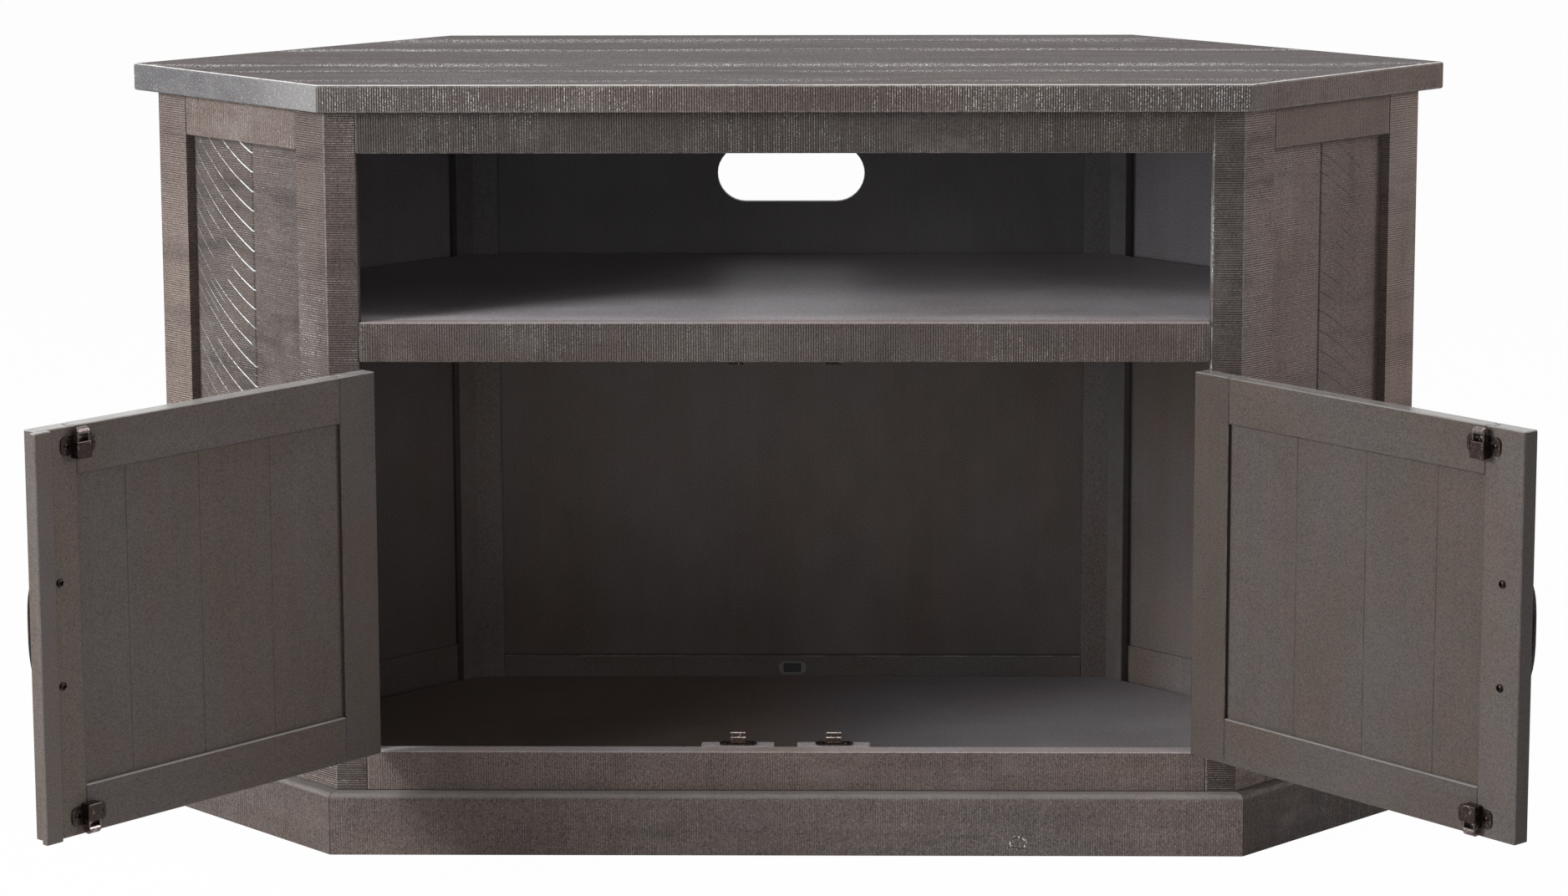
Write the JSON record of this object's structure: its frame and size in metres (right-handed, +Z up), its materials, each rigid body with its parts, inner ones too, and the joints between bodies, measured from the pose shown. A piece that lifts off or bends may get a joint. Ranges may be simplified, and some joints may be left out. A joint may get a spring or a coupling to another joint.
{
  "type": "corner tv stand",
  "caption": "Corner TV stand: angled framed cabinet with an open media bay, a cable hole in the back, and a lower compartment behind hinged plank doors with roller catches.",
  "frame": {"origin": "floor level, on the symmetry plane, directly below the front face of the face frame (the plinth's underside runs through it)", "axes": "+X along the width, to the right as seen from the front; +Y from the front to the back; +Z up"},
  "size_m": [1.371, 0.8331, 0.762],
  "materials": {
    "sawn_grey_wood": "rough-sawn grey-brown, matte, lighter at worn edges",
    "painted_grey_wood": "smooth grey-brown paint, satin",
    "antique_bronze": "dark bronze plating on stamped steel, satin",
    "black_iron": "black, satin"
  },
  "bodies": {
    "carcass": {"back_panel": "painted_grey_wood", "back_post_left": "painted_grey_wood", "back_post_right": "painted_grey_wood", "back_rail": "painted_grey_wood", "bottom_rail": "sawn_grey_wood", "floor_panel": "painted_grey_wood", "front_post_left": "sawn_grey_wood", "front_post_right": "sawn_grey_wood", "hinge_bottom_left_frame_leaf": "antique_bronze", "hinge_bottom_right_frame_leaf": "antique_bronze", "hinge_top_left_frame_leaf": "antique_bronze", "hinge_top_right_frame_leaf": "antique_bronze", "plinth_front": "sawn_grey_wood", "plinth_left": "sawn_grey_wood", "plinth_right": "sawn_grey_wood", "rear_panel_left": "painted_grey_wood", "rear_panel_right": "painted_grey_wood", "shelf": "painted_grey_wood", "shelf_rail": "sawn_grey_wood", "side_bottom_rail_left": "sawn_grey_wood", "side_bottom_rail_right": "sawn_grey_wood", "side_panel_left": "sawn_grey_wood", "side_panel_right": "sawn_grey_wood", "side_rear_stile_left": "sawn_grey_wood", "side_rear_stile_right": "sawn_grey_wood", "side_top_rail_left": "sawn_grey_wood", "side_top_rail_right": "sawn_grey_wood", "strike_bottom_left": "antique_bronze", "strike_bottom_right": "antique_bronze", "strike_pad_left": "painted_grey_wood", "strike_pad_right": "painted_grey_wood", "strike_top_left": "antique_bronze", "strike_top_right": "antique_bronze", "top_rail": "sawn_grey_wood", "top_slab": "sawn_grey_wood"},
    "door_left": {"astragal": "painted_grey_wood", "catch_bottom_left_housing": "antique_bronze", "catch_top_left_housing": "antique_bronze", "door_left_bottom_rail": "painted_grey_wood", "door_left_free_stile": "painted_grey_wood", "door_left_hinge_stile": "painted_grey_wood", "door_left_panel": "painted_grey_wood", "door_left_top_rail": "painted_grey_wood", "handle_left": "black_iron", "hinge_bottom_left_door_leaf": "antique_bronze", "hinge_top_left_door_leaf": "antique_bronze"},
    "door_right": {"catch_bottom_right_housing": "antique_bronze", "catch_top_right_housing": "antique_bronze", "door_right_bottom_rail": "painted_grey_wood", "door_right_free_stile": "painted_grey_wood", "door_right_hinge_stile": "painted_grey_wood", "door_right_panel": "painted_grey_wood", "door_right_top_rail": "painted_grey_wood", "handle_right": "black_iron", "hinge_bottom_right_door_leaf": "antique_bronze", "hinge_top_right_door_leaf": "antique_bronze"},
    "catch_bottom_left_slider": {"catch_bottom_left_carriage": "antique_bronze"},
    "catch_bottom_right_slider": {"catch_bottom_right_carriage": "antique_bronze"},
    "catch_top_left_slider": {"catch_top_left_carriage": "antique_bronze"},
    "catch_top_right_slider": {"catch_top_right_carriage": "antique_bronze"}
  },
  "joints": [
    {"name": "door_left_hinge", "type": "hinge", "parent": "carcass", "child": "door_left", "pos_m": [-0.4115, -0.0038, 0.2948], "axis": [0, 0, -1], "range_deg": [-131, 44]},
    {"name": "door_right_hinge", "type": "hinge", "parent": "carcass", "child": "door_right", "pos_m": [0.4115, -0.0038, 0.2948], "axis": [0, 0, 1], "range_deg": [-131, 44]},
    {"name": "catch_bottom_left_travel", "type": "slide", "parent": "door_left", "child": "catch_bottom_left_slider", "axis": [0, 0, 1], "range_m": [0, 0.0045], "stiffness_N_per_m": 800},
    {"name": "catch_top_left_travel", "type": "slide", "parent": "door_left", "child": "catch_top_left_slider", "axis": [0, 0, -1], "range_m": [0, 0.0045], "stiffness_N_per_m": 800},
    {"name": "catch_bottom_right_travel", "type": "slide", "parent": "door_right", "child": "catch_bottom_right_slider", "axis": [0, 0, 1], "range_m": [0, 0.0045], "stiffness_N_per_m": 800},
    {"name": "catch_top_right_travel", "type": "slide", "parent": "door_right", "child": "catch_top_right_slider", "axis": [0, 0, -1], "range_m": [0, 0.0045], "stiffness_N_per_m": 800}
  ]
}
